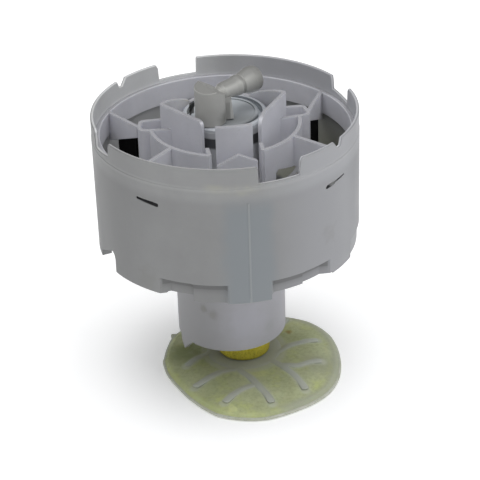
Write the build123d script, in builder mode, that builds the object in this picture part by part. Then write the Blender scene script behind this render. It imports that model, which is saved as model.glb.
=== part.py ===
from build123d import *
from math import cos, radians, sin
import os

# In-tank fuel pump: a swirl-pot bucket, a springy star carrier that holds a
# 38 mm electric pump on its axis, a lower sleeve, and a flat strainer on the
# pump's brass inlet. Millimetres, +Z up, origin on the bucket's axis at the
# underside of the strainer.

# ---- driving dimensions -------------------------------------------------
RIM_Z = 130.0          # top of the tall rim segments
BUCKET_R = 59.0        # outside of the bucket
COLLAR_R = 58.8        # outside of the thin collar above the witness line
COLLAR_IN_R = 57.5     # inside of the thin collar
WALL_IN_R = 56.6       # inside of the bucket below the shoulder
STEP_Z = 120.5         # witness line outside
SHOULDER_Z = 110.4     # inner shoulder that the star carrier sits on
FLOOR_BOT = 78.0
FLOOR_TOP = 80.5
SKIRT_IN_R = 54.6
SKIRT_Z = 65.3
NECK_HOLE_R = 25.4

STAR_AZ = 278.6        # the star's mirror plane points this way
RING_R = 33.0          # inner ring of the star, wall centre line
STAR_T = 1.7           # wall thickness of the star
STAR_BOT = 104.0
LOBE_TOP = 123.6
PLATE_TOP = 133.5
LEDGE_Z = 120.8        # top of the star's outer ring

PUMP_R = 19.0          # 38 mm pump can
PUMP_IN_R = 18.2
CAP_Z = 129.9          # top face of the pump's end cap as drawn
HEAD = -1.25           # the whole head group is seated this much lower
ELBOW_Z = 130.05       # underside of the elbow
NECK_R = 25.0
NECK_IN_R = 22.8
NECK_Z = 19.2          # lower edge of the neck
INLET_X = 5.1          # the inlet is eccentric
SHAFT_R = 2.0
RUN = 0.04             # radial running clearance

PORT_X, PORT_Y = -6.1, -10.0    # outlet port on the cap
TUBE_AZ = 39.6                  # outlet tube points this way
TUBE_TILT = 2.2                 # and slightly upwards
TUBE_Z = 141.6
BRUSH_AZ = 146.0
BRUSH_R = 7.8


def radial_plane(az):
    """Vertical plane through the axis: x is the radius at az, y is height."""
    a = radians(az)
    return Plane(origin=(0, 0, 0), x_dir=(cos(a), sin(a), 0), z_dir=(sin(a), -cos(a), 0))


def tangent_plane(az, r):
    """Vertical plane at radius r: x runs anticlockwise, y is height, normal outward."""
    a = radians(az)
    return Plane(origin=(r * cos(a), r * sin(a), 0), x_dir=(-sin(a), cos(a), 0), z_dir=(cos(a), sin(a), 0))


def star_plane(z):
    """Horizontal plane of the star: -y points along the mirror plane to the front."""
    a = radians(STAR_AZ + 90)
    return Plane(origin=(0, 0, z), x_dir=(cos(a), sin(a), 0), z_dir=(0, 0, 1))


def star_pt(x, y):
    a = radians(STAR_AZ + 90)
    return (x * cos(a) - y * sin(a), x * sin(a) + y * cos(a))


def upright(p, q):
    """Vertical plane through two plan points of the star; x runs p to q, y is height."""
    px, py = star_pt(*p)
    qx, qy = star_pt(*q)
    d = ((qx - px) ** 2 + (qy - py) ** 2) ** 0.5
    ux, uy = (qx - px) / d, (qy - py) / d
    return Plane(origin=(px, py, 0), x_dir=(ux, uy, 0), z_dir=(uy, -ux, 0)), d


def arc_pts(r, a0, a1, n):
    return [(r * cos(radians(a0 + (a1 - a0) * i / n)), r * sin(radians(a0 + (a1 - a0) * i / n))) for i in range(n + 1)]


os.makedirs("parts", exist_ok=True)

# ---- reservoir bucket: one moulding with collar, floor and skirt --------
with BuildPart() as reservoir_bucket:
    with BuildSketch(Plane.XZ):
        with BuildLine():
            Polyline(
                (NECK_HOLE_R, FLOOR_BOT),
                (SKIRT_IN_R, FLOOR_BOT),
                (SKIRT_IN_R, SKIRT_Z + 0.5),
                (SKIRT_IN_R + 0.5, SKIRT_Z),
                (BUCKET_R - 0.5, SKIRT_Z),
                (BUCKET_R, SKIRT_Z + 0.5),
                (BUCKET_R, STEP_Z),
                (COLLAR_R, STEP_Z + 0.3),
                (COLLAR_R, RIM_Z - 0.35),
                (COLLAR_R - 0.35, RIM_Z),
                (COLLAR_IN_R + 0.35, RIM_Z),
                (COLLAR_IN_R, RIM_Z - 0.35),
                (COLLAR_IN_R, SHOULDER_Z),
                (WALL_IN_R, SHOULDER_Z),
                (WALL_IN_R, FLOOR_TOP + 1.5),
                (WALL_IN_R - 1.5, FLOOR_TOP),
                (NECK_HOLE_R, FLOOR_TOP),
                close=True,
            )
        make_face()
    revolve(axis=Axis.Z)
    # rim: wide gaps, narrow gaps and V notches, the same again half a turn on
    for turn in (0, 180):
        with BuildSketch(tangent_plane(112.25 + turn, 50)):
            with BuildLine():
                Polyline((-9.4, 122.0), (9.3, 122.0), (9.7, 128.2), (11.3, 131), (-10.2, 131), (-9.6, 129.0), close=True)
            make_face()
        extrude(amount=12, mode=Mode.SUBTRACT)
        with BuildSketch(tangent_plane(24.85 + turn, 50)):
            with BuildLine():
                Polyline((-7.2, 121.9), (-2.0, 122.4), (7.1, 123.5), (7.5, 128.1), (8.4, 131), (-9.6, 131), (-7.8, 128.4), close=True)
            make_face()
        extrude(amount=12, mode=Mode.SUBTRACT)
        with BuildSketch(tangent_plane(144.35 + turn, 50)):
            with BuildLine():
                Polyline((-0.9, 126.3), (1.5, 126.5), (3.4, 131), (-4.4, 131), (-2.8, 128.6), close=True)
            make_face()
        extrude(amount=12, mode=Mode.SUBTRACT)
        # latch slits through the wall
        with BuildSketch(tangent_plane(55.25 + turn, 50)):
            with BuildLine():
                Polyline((-5.7, 111.4), (-5.4, 110.9), (5.1, 109.6), (5.7, 110.1), (5.6, 111.2), (4.4, 111.6), (-5.3, 112.0), close=True)
            make_face()
        extrude(amount=12, mode=Mode.SUBTRACT)
        with BuildSketch(tangent_plane(141.75 + turn, 50)):
            with BuildLine():
                Polyline((-6.7, 110.9), (-6.0, 110.1), (-1.6, 110.4), (-0.6, 110.9), (6.7, 111.7), (6.6, 112.3), (-1.4, 111.9), (-6.0, 111.9), close=True)
            make_face()
        extrude(amount=12, mode=Mode.SUBTRACT)
        # cut-out right through the skirt
        with BuildSketch(tangent_plane(24.25 + turn, 50)):
            with BuildLine():
                top_edge = [(6.2, 76.9), (-8.3, 76.9)] if turn == 0 else [(6.2, 76.9), (1.0, 74.6), (-5.6, 71.6), (-8.3, 70.4)]
                Polyline((-8.3, 64), (8.3, 64), (8.3, 73.6), (7.7, 75.6), *top_edge, close=True)
            make_face()
        extrude(amount=12, mode=Mode.SUBTRACT)
        # shallow set-back of the skirt beside the cut-out
        with BuildSketch(radial_plane(335.0 + turn)):
            with Locations((BUCKET_R + 1.0, 70.0)):
                Rectangle(4.0, 11.0)
        revolve(axis=Axis.Z, revolution_arc=32.0 if turn == 0 else 24.0, mode=Mode.SUBTRACT)
        # bayonet pockets and ramps, mirrored about the seam column
        for side in (1, -1):
            with BuildSketch(Plane.XY.offset(64.0)):
                base = STAR_AZ + turn
                pocket = [
                    (62 * cos(radians(base + side * 40.2)), 62 * sin(radians(base + side * 40.2))),
                    (59.3 * cos(radians(base + side * 39.6)), 59.3 * sin(radians(base + side * 39.6))),
                ]
                pocket += arc_pts(55.9, base + side * 35.4, base + side * 24.6, 6)
                pocket += [(62 * cos(radians(base + side * 24.6)), 62 * sin(radians(base + side * 24.6)))]
                Polygon(*pocket, align=None)
            extrude(amount=11.0, mode=Mode.SUBTRACT)
            with BuildSketch(Plane.XY.offset(64.0)):
                ramp = [
                    (62 * cos(radians(base + side * 25.0)), 62 * sin(radians(base + side * 25.0))),
                ]
                ramp += arc_pts(57.1, base + side * 25.0, base + side * 10.6, 8)
                ramp += [(59.6 * cos(radians(base + side * 8.6)), 59.6 * sin(radians(base + side * 8.6))),
                         (62 * cos(radians(base + side * 8.6)), 62 * sin(radians(base + side * 8.6)))]
                Polygon(*ramp, align=None)
            extrude(amount=10.8, mode=Mode.SUBTRACT)
        # lower edge: set back away from the seam column, which reaches lowest
        with BuildSketch(radial_plane(STAR_AZ + turn + 9.0)):
            with Locations((BUCKET_R - 2, 65.6)):
                Rectangle(8.0, 4.8)
        revolve(axis=Axis.Z, revolution_arc=32.0, mode=Mode.SUBTRACT)
        with BuildSketch(radial_plane(STAR_AZ + turn + 40.9)):
            with Locations((BUCKET_R - 2, 65.4)):
                Rectangle(8.0, 3.6)
        revolve(axis=Axis.Z, revolution_arc=114.3, mode=Mode.SUBTRACT)
        with BuildSketch(radial_plane(STAR_AZ + turn - 37.0)):
            with Locations((BUCKET_R - 2, 65.6)):
                Rectangle(8.0, 4.4)
        revolve(axis=Axis.Z, revolution_arc=12.4, mode=Mode.SUBTRACT)
        # fine mould seam down the wall
        with BuildSketch(tangent_plane(STAR_AZ + turn, 58.8)):
            with Locations((0, 90.6)):
                Rectangle(0.7, 46.2)
        extrude(amount=0.32)
reservoir_bucket.part.label = "reservoir_bucket"
export_step(reservoir_bucket.part, "parts/reservoir_bucket.step")

# ---- star carrier: springy one-piece moulding that centres the pump ------
with BuildPart() as star_carrier:
    # outer ring that seats inside the collar
    with BuildSketch(Plane.XZ):
        with BuildLine():
            Polyline((55.3, 110.45), (57.35, 110.45), (57.35, LEDGE_Z - 0.3), (57.05, LEDGE_Z), (55.6, LEDGE_Z), (55.3, LEDGE_Z - 0.3), close=True)
        make_face()
    revolve(axis=Axis.Z)
    # base plate and the tube round the pump
    with BuildSketch(Plane.XZ):
        with BuildLine():
            Polyline((19.5, 84.8), (30.0, 84.8), (30.0, 86.4), (21.4, 86.4), (21.4, STAR_BOT - 2.4), (33.8, STAR_BOT - 2.4), (33.8, STAR_BOT + 0.2), (19.5, STAR_BOT + 0.2), close=True)
        make_face()
    revolve(axis=Axis.Z)
    # inner ring arcs, short slot walls and U-shaped lobes
    with BuildSketch(star_plane(STAR_BOT)):
        for side in (1, -1):
            with BuildLine():
                CenterArc((0, 0), RING_R, 270 + side * 20.6, side * 66.6)
            trace(line_width=STAR_T)
            with BuildLine():
                Polyline((side * 11.6, -30.9), (side * 11.6, -24.0))
            trace(line_width=STAR_T)
            with BuildLine():
                FilletPolyline((side * 24.0, -2.1), (side * 38.0, -0.5), (side * 36.6, 8.6), (side * 23.2, 8.6), radius=2.6)
            trace(line_width=STAR_T)
    extrude(amount=LOBE_TOP - STAR_BOT)
    # front segment of the ring, its top edge an inverted V
    with BuildSketch(star_plane(STAR_BOT)):
        with BuildLine():
            CenterArc((0, 0), RING_R, 270 - 15.2, 30.4)
        trace(line_width=STAR_T)
    extrude(amount=LOBE_TOP - STAR_BOT)
    with BuildSketch(Plane(origin=(*star_pt(0, -29.0), 0), x_dir=(*star_pt(1, 0), 0), z_dir=(*star_pt(0, -1), 0))):
        with BuildLine():
            Polyline((0.4, LOBE_TOP + 0.2), (9.7, 119.0), (9.7, 127), (-9.7, 127), (-9.7, 118.2), close=True)
        make_face()
    extrude(amount=8, mode=Mode.SUBTRACT)
    # tall plates that hug the pump
    with BuildSketch(star_plane(STAR_BOT)):
        for side in (1, -1):
            with BuildLine():
                Spline((side * 12.4, -18.2), (side * 17.8, -10.7), (side * 23.5, -2.4), (side * 27.3, 3.4))
            trace(line_width=STAR_T)
        with BuildLine():
            ThreePointArc((-7.9, -24.9), (0, -25.6), (7.9, -24.9))
        trace(line_width=STAR_T)
    extrude(amount=PLATE_TOP - STAR_BOT)
    # rounded upper corners of the tall plates
    for side, r in ((1, 5.6), (-1, 2.4)):
        plane, _ = upright((side * 12.4, -18.2), (side * 17.8, -10.7))
        with BuildSketch(plane):
            with Locations((r / 2 - 0.6, PLATE_TOP - r / 2 + 0.6)):
                Rectangle(r + 1.2, r + 1.2)
            with Locations((r, PLATE_TOP - r)):
                Circle(r, mode=Mode.SUBTRACT)
            with Locations((r / 2 - 0.6 + 5, PLATE_TOP - r - 5)):
                Rectangle(20, 10, mode=Mode.SUBTRACT)
            with Locations((r + 10, PLATE_TOP - r / 2)):
                Rectangle(20, 20, mode=Mode.SUBTRACT)
        extrude(amount=2.6, both=True, mode=Mode.SUBTRACT)
    # rear plates, their tops sloping down towards the pump
    for side in (1, -1):
        plane, d = upright((side * 27.4, 3.2), (side * 13.7, 15.4))
        with BuildSketch(plane):
            with BuildLine():
                Polyline((0, STAR_BOT), (0, PLATE_TOP), (3.6, PLATE_TOP), (8.0, 132.6), (12.0, 131.3), (d - 1.2, 129.2), (d, 127.9), (d, STAR_BOT), close=True)
            make_face()
        extrude(amount=STAR_T / 2, both=True)
    with BuildSketch(star_plane(STAR_BOT)):
        with BuildLine():
            Spline((-13.9, 15.2), (-8.0, 19.6), (0, 21.2), (8.0, 19.6), (13.9, 15.2))
        trace(line_width=STAR_T)
    extrude(amount=127.6 - STAR_BOT)
    # slanting side webs and radial front and rear webs out to the ring
    for side in (1, -1):
        plane, d = upright((side * 38.4, 4.0), (side * 48.6, 27.2))
        with BuildSketch(plane):
            with BuildLine():
                Polyline((-0.6, LOBE_TOP), (-0.6, 118.2), (d, 106.8), (d, LEDGE_Z), close=True)
            make_face()
        extrude(amount=0.8, both=True)
        plane, d = upright((side * 26.6, -19.8), (side * 44.6, -33.4))
        with BuildSketch(plane):
            with BuildLine():
                Polyline((-0.6, LOBE_TOP), (-0.6, 108.2), (9.0, 109.0), (d, 110.6), (d, LEDGE_Z), (d - 2.5, LEDGE_Z + 0.2), close=True)
            make_face()
        extrude(amount=0.9, both=True)
    plane, d = upright((0, 21.0), (0, 56.0))
    with BuildSketch(plane):
        with BuildLine():
            Polyline((-0.4, 116.5), (-0.4, 112.0), (d, 110.6), (d, 115.5), close=True)
        make_face()
    extrude(amount=0.9, both=True)
    # openings in the inner ring beside the slots
    with BuildSketch(Plane(origin=(*star_pt(0, -15.5), 0), x_dir=(*star_pt(1, 0), 0), z_dir=(*star_pt(0, -1), 0))):
        for side in (1, -1):
            with BuildLine():
                Polyline((side * 17.2, 104.4), (side * 17.2, 111.2), (side * 18.4, 112.2), (side * 23.0, 110.6), (side * 26.0, 109.4), (side * 29.6, 108.6), (side * 29.6, 104.4), close=True)
            make_face()
    extrude(amount=18.5, mode=Mode.SUBTRACT)
    for side in (1, -1):
        with BuildSketch(Plane(origin=(*star_pt(side * 31.0, 0), 0), x_dir=(*star_pt(0, 1), 0), z_dir=(*star_pt(1, 0), 0))):
            with BuildLine():
                Polyline((-16.4, 104.4), (-16.4, 109.8), (-5.5, 111.0), (-4.5, 110.0), (-4.5, 104.4), close=True)
            make_face()
        extrude(amount=4, both=True, mode=Mode.SUBTRACT)
    # slots of the springy plates go on down through the base plate
    with BuildSketch(star_plane(STAR_BOT - 4)):
        for side in (1, -1):
            with Locations((side * 10.1, -27.6)):
                Rectangle(1.6, 7.0)
            a0, a1 = (270 + side * 32, 270 + side * 84)
            Polygon(*arc_pts(23.6, a0, a1, 8), *arc_pts(31.6, a1, a0, 8), align=None)
    extrude(amount=4.6, mode=Mode.SUBTRACT)
    # latch notches in the outer ring, in line with the bucket's front slits
    with BuildSketch(tangent_plane(235.25, 52)):
        with Locations((0, 110.8)):
            Rectangle(13.0, 3.6)
    extrude(amount=7, mode=Mode.SUBTRACT)
    with BuildSketch(tangent_plane(321.75, 52)):
        with Locations((0, 111.0)):
            Rectangle(16.0, 3.4)
    extrude(amount=7, mode=Mode.SUBTRACT)
star_carrier.part.label = "star_carrier"
export_step(star_carrier.part, "parts/star_carrier.step")

# ---- rubber surge flaps that hang under the side webs -------------------------
for tag, side in (("left", -1), ("right", 1)):
    plane, d = upright((side * 38.4, 4.0), (side * 48.6, 27.2))
    with BuildPart() as surge_flap:
        with BuildSketch(plane):
            with BuildLine():
                Polyline((0.9, 88.0), (2.4, 86.0), (15.7, 86.0), (17.2, 88.0), (17.2, 110.3), (0.9, 117.46), close=True)
            make_face()
        extrude(amount=0.5, both=True)
    surge_flap.part.label = "surge_flap_" + tag
    export_step(surge_flap.part, "parts/surge_flap_" + tag + ".step")

# ---- neck sleeve: lower cup round the pump --------------------------------
with BuildPart() as neck_sleeve:
    with BuildSketch(Plane.XZ):
        with BuildLine():
            Polyline(
                (20.0, 21.2), (NECK_IN_R, 21.2), (NECK_IN_R, NECK_Z + 0.3), (NECK_IN_R + 0.3, NECK_Z), (NECK_R - 0.4, NECK_Z), (NECK_R, NECK_Z + 0.4),
                (NECK_R, 82.6), (30.0, 82.6), (30.0, 84.7), (NECK_IN_R, 84.7), (NECK_IN_R, 23.4), (20.0, 23.4),
                close=True,
            )
        make_face()
    revolve(axis=Axis.Z)
    # pointed tooth on the lower edge
    with BuildSketch(tangent_plane(210.0, 20.0)):
        with BuildLine():
            Polyline((-5.2, 20.2), (-4.4, 16.2), (-1.2, 13.2), (0.6, 15.4), (5.0, 19.4), (5.0, 20.2), close=True)
        make_face()
    extrude(amount=6.0)
    with BuildSketch(Plane.XY.offset(12.0)):
        Circle(30.0)
        Circle(NECK_R, mode=Mode.SUBTRACT)
    extrude(amount=9.0, mode=Mode.SUBTRACT)
    with BuildSketch(Plane.XY.offset(12.0)):
        Circle(NECK_IN_R)
    extrude(amount=9.15, mode=Mode.SUBTRACT)
neck_sleeve.part.label = "neck_sleeve"
export_step(neck_sleeve.part, "parts/neck_sleeve.step")

with BuildPart() as neck_gasket:
    with BuildSketch(Plane.XY.offset(FLOOR_TOP)):
        Circle(29.6)
        Circle(25.1, mode=Mode.SUBTRACT)
    extrude(amount=82.6 - FLOOR_TOP)
neck_gasket.part.label = "neck_gasket"
export_step(neck_gasket.part, "parts/neck_gasket.step")

# ---- rubber isolator between the can and the sleeve ------------------------
with BuildPart() as lower_isolator:
    with BuildSketch(Plane.XY.offset(23.4)):
        Circle(NECK_IN_R - 0.1)
        Circle(PUMP_R, mode=Mode.SUBTRACT)
        with PolarLocations(NECK_IN_R + 0.3, 12):
            Circle(1.5, mode=Mode.SUBTRACT)
    extrude(amount=10.0)
lower_isolator.part.label = "lower_isolator"
export_step(lower_isolator.part, "parts/lower_isolator.step")

# ---- pump can: drawn steel shell with both ends rolled in ------------------
with BuildPart() as pump_can:
    with BuildSketch(Plane.XZ):
        with BuildLine():
            Polyline(
                (16.2, 20.2), (PUMP_R - 0.8, 20.2), (PUMP_R, 21.0), (PUMP_R, 127.9 + HEAD), (18.7, 129.0 + HEAD), (18.0, 129.7 + HEAD), (17.4, CAP_Z + HEAD), (16.6, CAP_Z + HEAD),
                (16.6, 129.0 + HEAD), (17.2, 129.0 + HEAD), (17.9, 128.4 + HEAD), (PUMP_IN_R, 127.8 + HEAD), (PUMP_IN_R, 21.0), (16.2, 21.0),
                close=True,
            )
        make_face()
    revolve(axis=Axis.Z)
pump_can.part.label = "pump_can"
export_step(pump_can.part, "parts/pump_can.step")

# ---- top cap: moulded end plate with ports, brush boxes and bearing seat ---
with BuildPart() as top_cap:
    with BuildSketch(Plane.XZ):
        with BuildLine():
            Polyline(
                (0, 104.0), (18.1, 104.0), (18.1, 127.7), (17.6, 128.3), (17.1, 128.8), (16.5, 128.8), (16.5, 127.0),
                (14.8, 127.0), (14.8, CAP_Z - 0.5), (14.3, CAP_Z), (0, CAP_Z),
                close=True,
            )
        make_face()
    revolve(axis=Axis.Z)
    # shallow dished face with a raised border
    with BuildSketch(Plane.XY.offset(CAP_Z)):
        Circle(13.2)
        with Locations((-3.5, 10.5)):
            Circle(3.4)
        with Locations((PORT_X, PORT_Y)):
            Circle(6.9, mode=Mode.SUBTRACT)
    extrude(amount=-0.5, mode=Mode.SUBTRACT)
    # outlet spigot
    with BuildSketch(Plane.XY.offset(127.0)):
        with Locations((PORT_X, PORT_Y)):
            Circle(4.3)
    extrude(amount=9.0)
    with BuildSketch(Plane.XY.offset(132.2)):
        with Locations((PORT_X, PORT_Y)):
            Circle(5.0)
            Circle(3.3, mode=Mode.SUBTRACT)
    extrude(amount=1.4, mode=Mode.SUBTRACT)
    with BuildSketch(Plane.XY.offset(103.0)):
        with Locations((PORT_X, PORT_Y)):
            Circle(2.4)
    extrude(amount=36.0, mode=Mode.SUBTRACT)
    # bearing seat, blind
    with BuildSketch(Plane.XY.offset(103.0)):
        Circle(4.0)
    extrude(amount=11.0, mode=Mode.SUBTRACT)
    with BuildSketch(Plane.XY.offset(113.9)):
        Circle(2.9)
    extrude(amount=3.6, mode=Mode.SUBTRACT)
    # brush boxes, blind
    with BuildSketch(Plane.XY.offset(103.0)):
        with PolarLocations(BRUSH_R, 2, start_angle=BRUSH_AZ):
            Rectangle(5.2, 6.2)
    extrude(amount=18.0, mode=Mode.SUBTRACT)
    # relief valve bore
    with BuildSketch(Plane.XY.offset(103.0)):
        with Locations((-3.5, 10.5)):
            Circle(1.3)
    extrude(amount=6.0, mode=Mode.SUBTRACT)
    with BuildSketch(Plane.XY.offset(108.5)):
        with Locations((-3.5, 10.5)):
            Circle(2.6)
    extrude(amount=25.0, mode=Mode.SUBTRACT)
    # terminal slots down to the brush boxes
    with BuildSketch(Plane.XY.offset(118.0)):
        with Locations((-11.2, 5.6)):
            Rectangle(1.0, 3.4, rotation=153.4)
        with Locations((-8.6, 10.0)):
            Rectangle(1.0, 3.4, rotation=130.7)
    extrude(amount=20.0, mode=Mode.SUBTRACT)
top_cap.part.move(Pos(0, 0, HEAD))
top_cap.part.label = "top_cap"
export_step(top_cap.part, "parts/top_cap.step")

# ---- outlet elbow -----------------------------------------------------------
with BuildPart() as outlet_elbow:
    with BuildSketch(Plane.XY.offset(ELBOW_Z)):
        with Locations((PORT_X, PORT_Y)):
            Circle(6.6)
    extrude(amount=148.4 - ELBOW_Z)
    # two facets on top: one nearly level, one sloping down towards the tube
    for facet_z, facet_dir in ((146.95, (-0.062, -0.157, 1)), (146.05, (0.5, 0.264, 1))):
        with BuildSketch(Plane(origin=(PORT_X, PORT_Y, facet_z), z_dir=facet_dir)):
            Rectangle(40, 40)
        extrude(amount=12, mode=Mode.SUBTRACT)
    fillet(outlet_elbow.faces().sort_by(Axis.Z)[-1].edges(), 0.35)
    # tube and barb along the outlet direction
    flat = (cos(radians(TUBE_AZ)), sin(radians(TUBE_AZ)), 0)
    tube_dir = (flat[0] * cos(radians(TUBE_TILT)), flat[1] * cos(radians(TUBE_TILT)), sin(radians(TUBE_TILT)))
    tube_start = (PORT_X, PORT_Y, TUBE_Z)
    with BuildSketch(Plane(origin=tube_start, x_dir=tube_dir, z_dir=(flat[1], -flat[0], 0))):
        with BuildLine():
            Polyline(
                (4.0, 0), (4.0, 2.2), (5.2, 3.1), (6.6, 3.8), (10.0, 3.95), (13.0, 4.1), (15.0, 4.6), (15.7, 4.55), (16.0, 4.15), (16.9, 4.15), (17.3, 4.5),
                (19.5, 5.05), (21.2, 5.5), (22.3, 5.75), (24.8, 5.75), (25.8, 5.45), (26.4, 4.95), (26.7, 4.3), (26.7, 0),
                close=True,
            )
        make_face()
    revolve(axis=Axis(tube_start, tube_dir))
    # gusset under the tube
    gusset = radians(14.0)
    with BuildSketch(Plane(origin=(PORT_X, PORT_Y, 0), x_dir=(cos(gusset), sin(gusset), 0), z_dir=(sin(gusset), -cos(gusset), 0))):
        with BuildLine():
            Polyline((5.4, ELBOW_Z), (10.3, ELBOW_Z), (9.2, 140.6), (5.4, 140.6), close=True)
        make_face()
    extrude(amount=0.75, both=True)
    # valve chamber and bore
    with BuildSketch(Plane.XY.offset(ELBOW_Z - 1)):
        with Locations((PORT_X, PORT_Y)):
            Circle(4.4)
    extrude(amount=13.9, mode=Mode.SUBTRACT)
    for bore_from, bore_r, bore_len in ((3.6, 1.6, 6.0), (7.6, 2.6, 22.0)):
        bore_at = tuple(c + bore_from * d for c, d in zip(tube_start, tube_dir))
        with BuildSketch(Plane(origin=bore_at, x_dir=(-flat[1], flat[0], 0), z_dir=tube_dir)):
            Circle(bore_r)
        extrude(amount=bore_len, mode=Mode.SUBTRACT)
outlet_elbow.part.move(Pos(0, 0, HEAD))
outlet_elbow.part.label = "outlet_elbow"
export_step(outlet_elbow.part, "parts/outlet_elbow.step")

# ---- seal, check valve and relief valve -------------------------------------
with BuildPart() as outlet_seal:
    with BuildSketch(Plane(origin=(PORT_X, PORT_Y, 132.9), x_dir=(1, 0, 0), z_dir=(0, -1, 0))):
        with Locations((3.85, 0)):
            Circle(0.54)
    revolve(axis=Axis((PORT_X, PORT_Y, 0), (0, 0, 1)))
outlet_seal.part.move(Pos(0, 0, HEAD))
outlet_seal.part.label = "outlet_seal"
export_step(outlet_seal.part, "parts/outlet_seal.step")

with BuildPart() as check_valve_poppet:
    with BuildSketch(Plane(origin=(PORT_X, PORT_Y, 0), x_dir=(1, 0, 0), z_dir=(0, -1, 0))):
        with BuildLine():
            Polyline((0, 134.2), (1.2, 134.6), (1.9, 136.15), (3.7, 136.15), (3.7, 137.0), (3.3, 137.4), (1.1, 137.4), (1.1, 139.6), (0, 139.6), close=True)
        make_face()
    revolve(axis=Axis((PORT_X, PORT_Y, 0), (0, 0, 1)))
check_valve_poppet.part.move(Pos(0, 0, HEAD))
check_valve_poppet.part.label = "check_valve_poppet"
export_step(check_valve_poppet.part, "parts/check_valve_poppet.step")

with BuildPart() as check_valve_spring:
    with BuildLine(Plane(origin=(PORT_X, PORT_Y, 137.75))):
        coil = Helix(pitch=1.2, height=4.7, radius=2.2)
    with BuildSketch(Plane(origin=coil @ 0, z_dir=coil % 0)):
        Circle(0.22)
    sweep(path=coil, is_frenet=True)
check_valve_spring.part.move(Pos(0, 0, HEAD))
check_valve_spring.part.label = "check_valve_spring"
export_step(check_valve_spring.part, "parts/check_valve_spring.step")

with BuildPart() as relief_valve_ball:
    with BuildSketch(Plane(origin=(-3.5, 10.5, 110.5), x_dir=(1, 0, 0), z_dir=(0, -1, 0))):
        with BuildLine():
            CenterArc((0, 0), 2.2, -90, 180)
            Line((0, 2.2), (0, -2.2))
        make_face()
    revolve(axis=Axis((-3.5, 10.5, 0), (0, 0, 1)))
relief_valve_ball.part.move(Pos(0, 0, HEAD))
relief_valve_ball.part.label = "relief_valve_ball"
export_step(relief_valve_ball.part, "parts/relief_valve_ball.step")

with BuildPart() as relief_valve_spring:
    with BuildLine(Plane(origin=(-3.5, 10.5, 113.2))):
        coil = Helix(pitch=1.55, height=10.0, radius=1.9)
    with BuildSketch(Plane(origin=coil @ 0, z_dir=coil % 0)):
        Circle(0.25)
    sweep(path=coil, is_frenet=True)
relief_valve_spring.part.move(Pos(0, 0, HEAD))
relief_valve_spring.part.label = "relief_valve_spring"
export_step(relief_valve_spring.part, "parts/relief_valve_spring.step")

with BuildPart() as relief_valve_plug:
    with BuildSketch(Plane.XY.offset(124.0)):
        with Locations((-3.5, 10.5)):
            Circle(2.6)
            Circle(1.0, mode=Mode.SUBTRACT)
    extrude(amount=5.6)
    with BuildSketch(Plane.XY.offset(129.4)):
        with Locations((-3.5, 10.5)):
            Circle(3.3)
            Circle(1.0, mode=Mode.SUBTRACT)
    extrude(amount=0.9)
relief_valve_plug.part.move(Pos(0, 0, HEAD))
relief_valve_plug.part.label = "relief_valve_plug"
export_step(relief_valve_plug.part, "parts/relief_valve_plug.step")

# ---- brush gear -------------------------------------------------------------
for tag, az in (("positive", BRUSH_AZ), ("negative", BRUSH_AZ + 180)):
    bx, by = BRUSH_R * cos(radians(az)), BRUSH_R * sin(radians(az))
    with BuildPart() as brush:
        with BuildSketch(Plane.XY.offset(99.55)):
            with Locations((bx, by)):
                Rectangle(5.0, 6.0, rotation=az)
        extrude(amount=9.0)
    brush.part.move(Pos(0, 0, HEAD))
    brush.part.label = "brush_" + tag
    export_step(brush.part, "parts/brush_" + tag + ".step")
    with BuildPart() as brush_spring:
        with BuildLine(Plane(origin=(bx, by, 109.0))):
            coil = Helix(pitch=1.8, height=11.3, radius=1.9)
        with BuildSketch(Plane(origin=coil @ 0, z_dir=coil % 0)):
            Circle(0.22)
        sweep(path=coil, is_frenet=True)
    brush_spring.part.move(Pos(0, 0, HEAD))
    brush_spring.part.label = "brush_spring_" + tag
    export_step(brush_spring.part, "parts/brush_spring_" + tag + ".step")

for tag, spot, turn in (("positive", (-11.2, 5.6), 153.4), ("negative", (-8.6, 10.0), 130.7)):
    with BuildPart() as terminal:
        with BuildSketch(Plane.XY.offset(118.0)):
            with Locations(spot):
                Rectangle(0.8, 3.2, rotation=turn)
        extrude(amount=17.4)
        with BuildSketch(Plane.XY.offset(135.4)):
            with Locations(spot):
                Rectangle(0.8, 2.2, rotation=turn)
        extrude(amount=0.8)
    terminal.part.move(Pos(0, 0, HEAD))
    terminal.part.label = "terminal_" + tag
    export_step(terminal.part, "parts/terminal_" + tag + ".step")

# ---- rotor ------------------------------------------------------------------
with BuildPart() as rotor_shaft:
    with BuildSketch(Plane.XZ):
        with BuildLine():
            Polyline((0, 26.2), (SHAFT_R - 0.4, 26.2), (SHAFT_R, 26.6), (SHAFT_R, 115.6), (SHAFT_R - 0.4, 116.0), (0, 116.0), close=True)
        make_face()
    revolve(axis=Axis.Z)
rotor_shaft.part.label = "rotor_shaft"
export_step(rotor_shaft.part, "parts/rotor_shaft.step")

with BuildPart() as armature_core:
    with BuildSketch(Plane.XY.offset(52.0)):
        Circle(13.9)
        with PolarLocations(9.4, 8):
            SlotCenterToCenter(3.2, 3.4, mode=Mode.SUBTRACT)
        with PolarLocations(12.9, 8):
            Rectangle(3.4, 1.5, mode=Mode.SUBTRACT)
        Circle(SHAFT_R, mode=Mode.SUBTRACT)
    extrude(amount=34.0)
armature_core.part.label = "armature_core"
export_step(armature_core.part, "parts/armature_core.step")

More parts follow.
